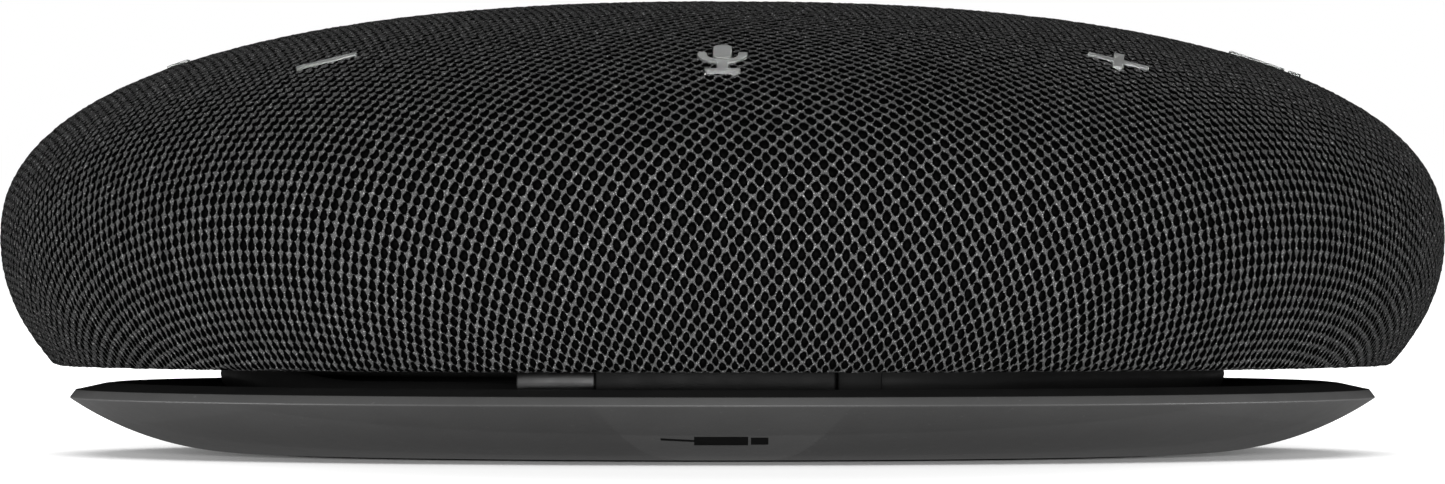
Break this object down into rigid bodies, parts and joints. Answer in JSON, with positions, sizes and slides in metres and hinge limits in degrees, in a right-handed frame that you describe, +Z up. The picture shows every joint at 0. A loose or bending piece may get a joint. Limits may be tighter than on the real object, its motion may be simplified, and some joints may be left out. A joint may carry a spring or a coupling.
{
  "type": "conference speakerphone",
  "caption": "Round domed conference speakerphone with a knitted cover, raised key icons, and a shallow dish base with its USB lead stowed in the groove.",
  "frame": {"origin": "centre of the underside, on the surface it stands on", "axes": "+Z up out of the crown, -Y towards the key side that faces the user, +X to the user's right"},
  "size_m": [0.123, 0.123, 0.0385],
  "materials": {
    "knit_fabric": "open melange knit, mid grey",
    "black_plastic": "fine satin black",
    "grey_elastomer": "soft matt dark grey",
    "black_rubber": "matt black",
    "lead_jacket": "satin charcoal jacket",
    "nickel_steel": "satin nickel plated",
    "zinc_steel": "zinc plated",
    "copper_wire": "enamelled copper",
    "pressed_paper": "pressed fibre, matt",
    "treated_cloth": "resin-treated weave",
    "circuit_board": "green solder mask",
    "chip_plastic": "moulded epoxy",
    "white_plastic": "off-white moulded",
    "icon_silicone": "pale grey satin",
    "plate_foil": "blank matt foil"
  },
  "bodies": {
    "housing": {"fabric_cover": "knit_fabric", "grille_dome": "black_plastic", "hem_ring": "black_plastic", "lower_housing": "black_plastic", "speaker_chamber": "black_plastic", "cable_drum": "black_plastic", "base_plate": "black_plastic", "plug_body": "black_plastic", "base_dish": "grey_elastomer", "foot_ring": "black_rubber", "cable_gland": "black_rubber", "driver_surround": "black_rubber", "usb_cable": "lead_jacket", "plug_relief": "lead_jacket", "plug_shell": "nickel_steel", "driver_basket": "zinc_steel", "driver_yoke": "zinc_steel", "driver_magnet": "zinc_steel", "driver_top_plate": "zinc_steel", "driver_spider": "treated_cloth", "key_carrier": "circuit_board", "main_board": "circuit_board", "codec_chip": "chip_plastic", "amplifier_chip": "chip_plastic", "cable_connector": "white_plastic", "status_led": "white_plastic", "rating_plate": "plate_foil", "key_call_switch": "nickel_steel", "key_minus_switch": "nickel_steel", "key_microphone_switch": "nickel_steel", "key_plus_switch": "nickel_steel", "key_video_switch": "nickel_steel", "microphone_1": "nickel_steel", "driver_screw_1": "zinc_steel", "microphone_2": "nickel_steel", "driver_screw_2": "zinc_steel", "microphone_3": "nickel_steel", "driver_screw_3": "zinc_steel", "microphone_4": "nickel_steel", "driver_screw_4": "zinc_steel", "housing_screw_1": "zinc_steel", "base_screw_1": "zinc_steel", "housing_screw_2": "zinc_steel", "base_screw_2": "zinc_steel", "housing_screw_3": "zinc_steel", "base_screw_3": "zinc_steel"},
    "call_key": {"key_call_icon": "icon_silicone", "key_call_plunger": "black_plastic"},
    "minus_key": {"key_minus_icon": "icon_silicone", "key_minus_plunger": "black_plastic"},
    "microphone_key": {"key_microphone_icon": "icon_silicone", "key_microphone_plunger": "black_plastic"},
    "plus_key": {"key_plus_icon": "icon_silicone", "key_plus_plunger": "black_plastic"},
    "video_key": {"key_video_icon": "icon_silicone", "key_video_plunger": "black_plastic"},
    "cone": {"driver_cone": "pressed_paper", "driver_dust_cap": "pressed_paper", "driver_voice_coil": "copper_wire"}
  },
  "joints": [
    {"name": "call_key_press", "type": "slide", "parent": "housing", "child": "call_key", "axis": [0.3213, 0, -0.947], "range_m": [0, 0.0004], "stiffness_N_per_m": 300, "springref_m": -0.001},
    {"name": "minus_key_press", "type": "slide", "parent": "housing", "child": "minus_key", "axis": [0.2272, 0.2272, -0.947], "range_m": [0, 0.0004], "stiffness_N_per_m": 300, "springref_m": -0.001},
    {"name": "microphone_key_press", "type": "slide", "parent": "housing", "child": "microphone_key", "axis": [0, 0.3213, -0.947], "range_m": [0, 0.0004], "stiffness_N_per_m": 300, "springref_m": -0.001},
    {"name": "plus_key_press", "type": "slide", "parent": "housing", "child": "plus_key", "axis": [-0.2272, 0.2272, -0.947], "range_m": [0, 0.0004], "stiffness_N_per_m": 300, "springref_m": -0.001},
    {"name": "video_key_press", "type": "slide", "parent": "housing", "child": "video_key", "axis": [-0.3213, 0, -0.947], "range_m": [0, 0.0004], "stiffness_N_per_m": 300, "springref_m": -0.001},
    {"name": "cone_excursion", "type": "slide", "parent": "housing", "child": "cone", "axis": [0, 0, 1], "range_m": [-0.001, 0.001], "stiffness_N_per_m": 1000}
  ]
}
